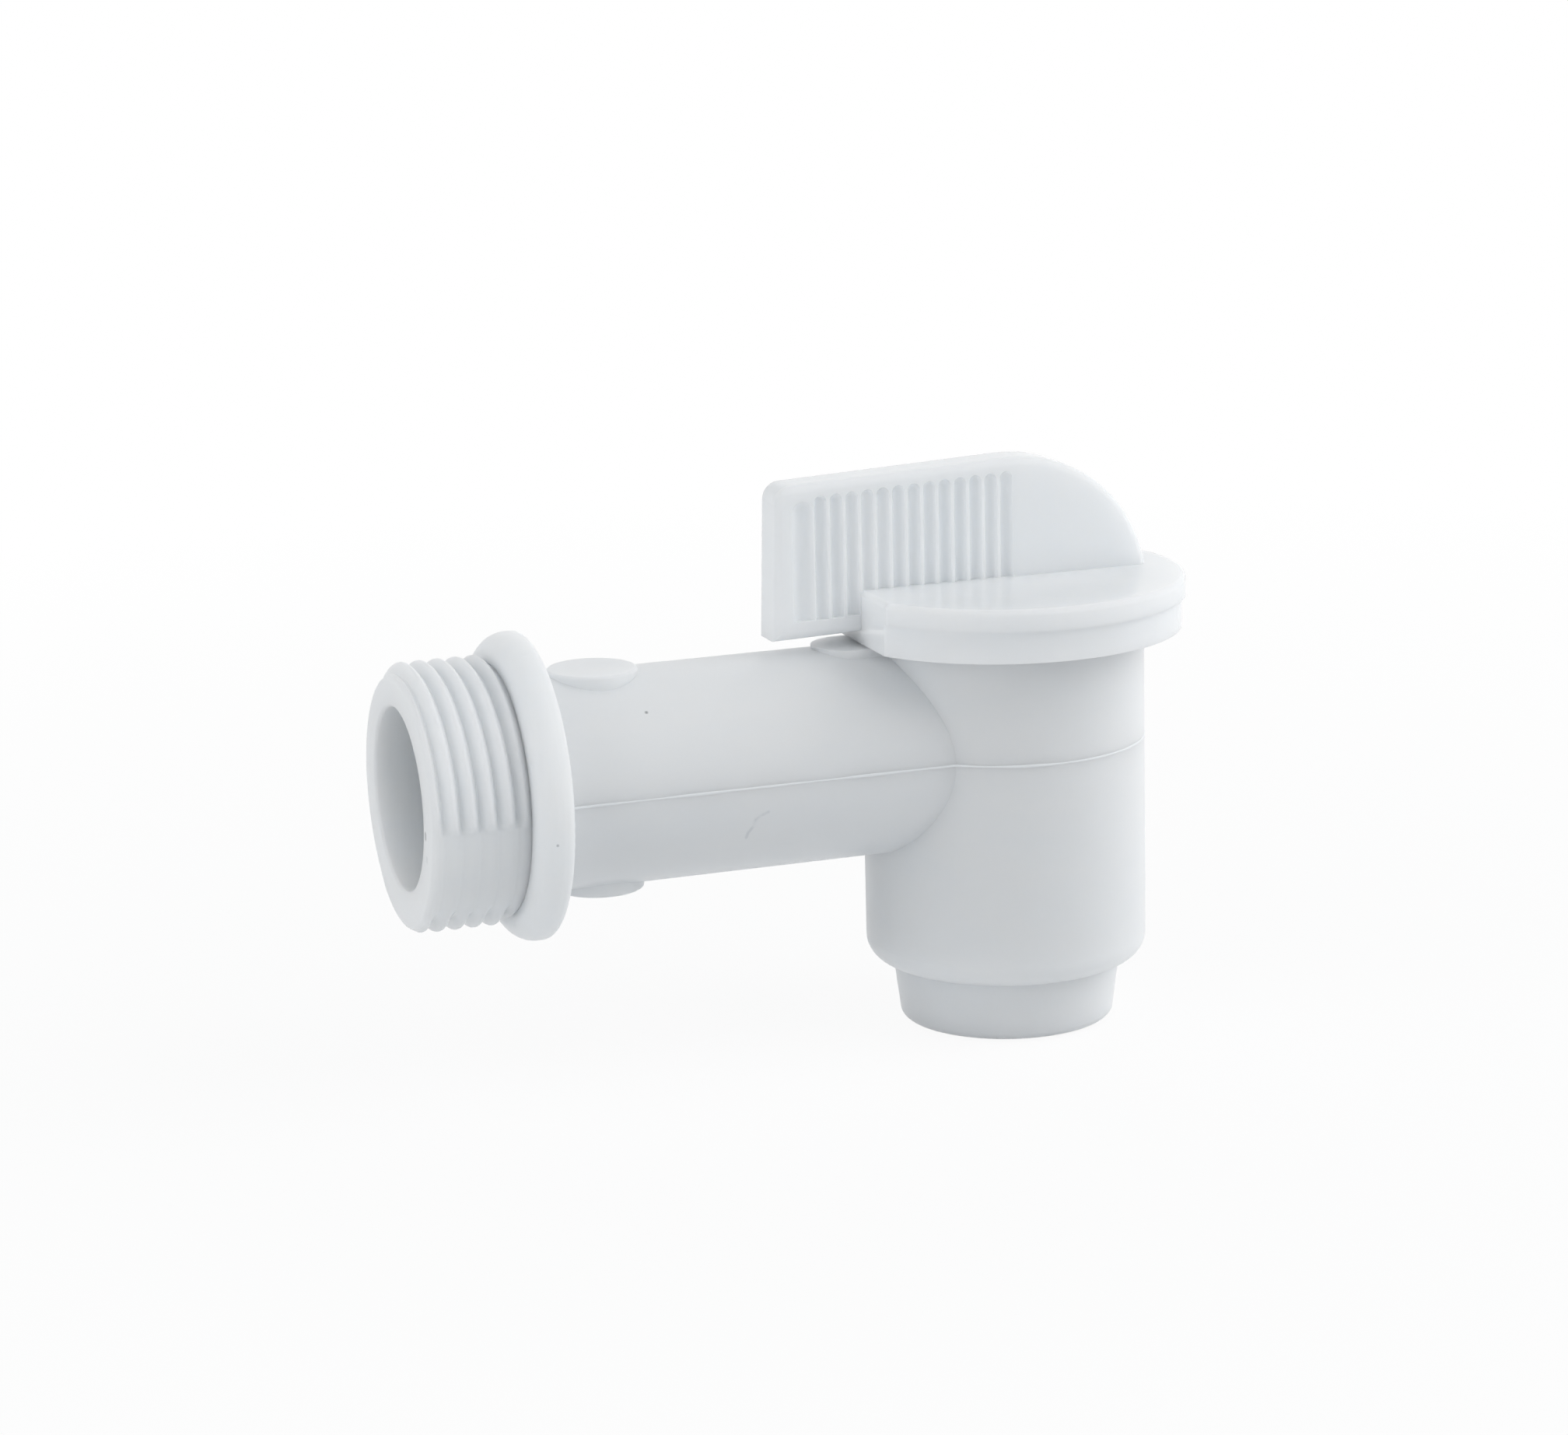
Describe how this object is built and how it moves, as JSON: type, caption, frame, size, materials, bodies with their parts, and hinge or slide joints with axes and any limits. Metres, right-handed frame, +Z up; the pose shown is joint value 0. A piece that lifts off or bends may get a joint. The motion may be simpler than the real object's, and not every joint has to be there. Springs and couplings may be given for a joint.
{
  "type": "water butt tap",
  "caption": "Moulded plastic tap for a water butt or drum: threaded spigot with flange, straight barrel, upright housing with a downward outlet, and a quarter-turn plug with a fluted wing.",
  "frame": {"origin": "on the barrel axis, in the flange's sealing face, which lies on the butt's wall", "axes": "+X away from the butt's wall along the barrel, +Z up along the plug axis, +Y completes the right-handed frame"},
  "size_m": [0.0819, 0.037, 0.0579],
  "materials": {
    "white_polyethylene": "waxy satin, slightly translucent"
  },
  "bodies": {
    "tap": {"tap_body": "white_polyethylene"},
    "plug": {"valve_plug": "white_polyethylene"}
  },
  "joints": [
    {"name": "plug_turn", "type": "hinge", "parent": "tap", "child": "plug", "pos_m": [0.0536, 0, 0], "axis": [0, 0, 1], "range_deg": [-90, 0]}
  ]
}
